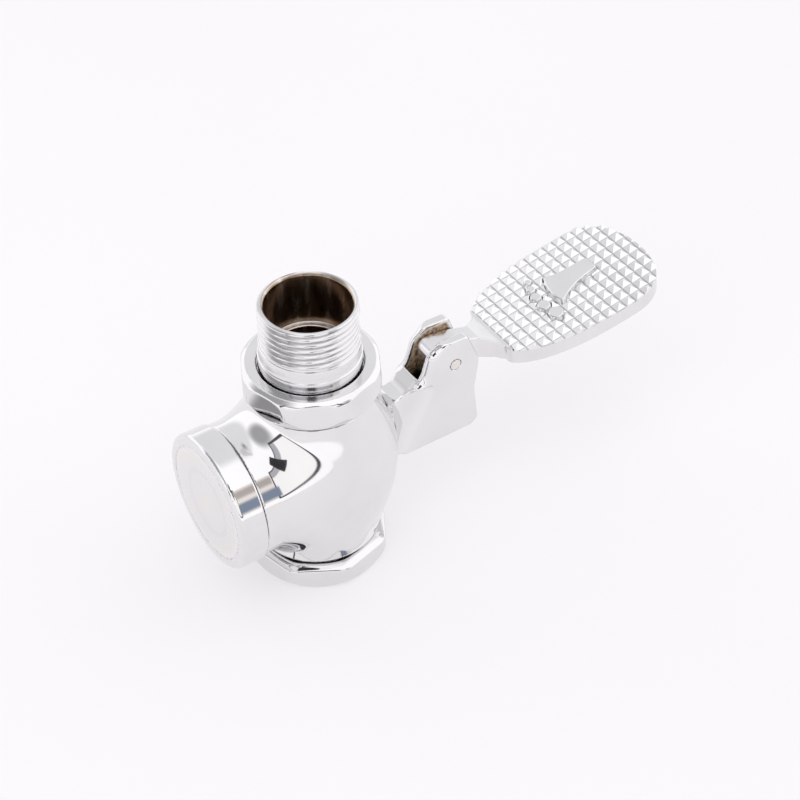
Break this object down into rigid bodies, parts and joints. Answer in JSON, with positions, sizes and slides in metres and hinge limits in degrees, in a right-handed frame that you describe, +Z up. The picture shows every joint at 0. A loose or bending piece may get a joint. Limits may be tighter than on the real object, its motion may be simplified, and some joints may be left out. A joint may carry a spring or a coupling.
{
  "type": "foot valve",
  "caption": "Chromed foot-pedal flush valve: threaded inlet nipple on top, flush-pipe nut below, round cap at one side and a knurled tilting pedal on a forked bracket at the other.",
  "frame": {"origin": "on the surface that the valve stands on, under the middle of its bounding box; the vertical pipe axis is 48.7 mm towards -X", "axes": "+Z up along the pipe axis, +X from the screw cap towards the pedal's tip, -Y the side that faces the viewer"},
  "size_m": [0.1822, 0.0576, 0.1105],
  "materials": {
    "chrome": "bright polished chrome plate",
    "raw_brass": "machined",
    "stainless_steel": "drawn wire and turned bar",
    "black_rubber": "matt"
  },
  "bodies": {
    "housing": {"valve_body": "chrome", "inlet_nipple": "chrome", "inlet_gasket": "black_rubber", "outlet_gasket": "black_rubber", "outlet_slip_ring": "raw_brass", "end_cap": "chrome", "cap_o_ring": "black_rubber", "valve_seat": "raw_brass", "gland_bush": "raw_brass", "push_rod_o_ring": "black_rubber", "pivot_pin": "stainless_steel", "piston_spring": "stainless_steel", "relief_spring": "stainless_steel", "push_rod_spring": "stainless_steel"},
    "pedal": {"pedal": "chrome"},
    "push_rod": {"push_rod": "stainless_steel", "push_rod_collar": "stainless_steel"},
    "piston": {"piston": "raw_brass", "piston_cup_seal": "black_rubber", "cup_seal_clamp_ring": "raw_brass", "seat_washer": "black_rubber", "seat_washer_screw": "raw_brass", "bleed_jet": "raw_brass"},
    "relief_stem": {"relief_stem": "raw_brass", "relief_seal": "black_rubber"},
    "inlet_nut": {"inlet_nut": "chrome"},
    "outlet_nut": {"outlet_nut": "chrome"}
  },
  "joints": [
    {"name": "pedal_press", "type": "hinge", "parent": "housing", "child": "pedal", "pos_m": [0.00487, 0, 0.062], "axis": [0, 1, 0], "range_deg": [0, 8], "stiffness_Nm_per_rad": 1.5, "springref_deg": -14.32},
    {"name": "push_rod_slide", "type": "slide", "parent": "housing", "child": "push_rod", "axis": [-1, 0, 0], "range_m": [0, 0.0029], "deforming": ["push_rod_spring"]},
    {"name": "piston_slide", "type": "slide", "parent": "housing", "child": "piston", "axis": [-1, 0, 0], "range_m": [0, 0.007], "stiffness_N_per_m": 300, "springref_m": -0.01, "deforming": ["piston_spring"]},
    {"name": "relief_slide", "type": "slide", "parent": "piston", "child": "relief_stem", "axis": [-1, 0, 0], "range_m": [0, 0.0029], "deforming": ["relief_spring"]},
    {"name": "inlet_nut_turn", "type": "hinge", "parent": "housing", "child": "inlet_nut", "pos_m": [-0.04873, 0, 0.0795], "axis": [0, 0, 1], "continuous": true},
    {"name": "outlet_nut_turn", "type": "hinge", "parent": "housing", "child": "outlet_nut", "pos_m": [-0.04873, 0, 0.005], "axis": [0, 0, 1], "continuous": true}
  ],
  "couplings": [
    {"joint": "push_rod_slide", "follows": "pedal_press", "m_per_rad": 0.0205},
    {"joint": "relief_slide", "follows": "pedal_press", "m_per_rad": 0.0205}
  ]
}
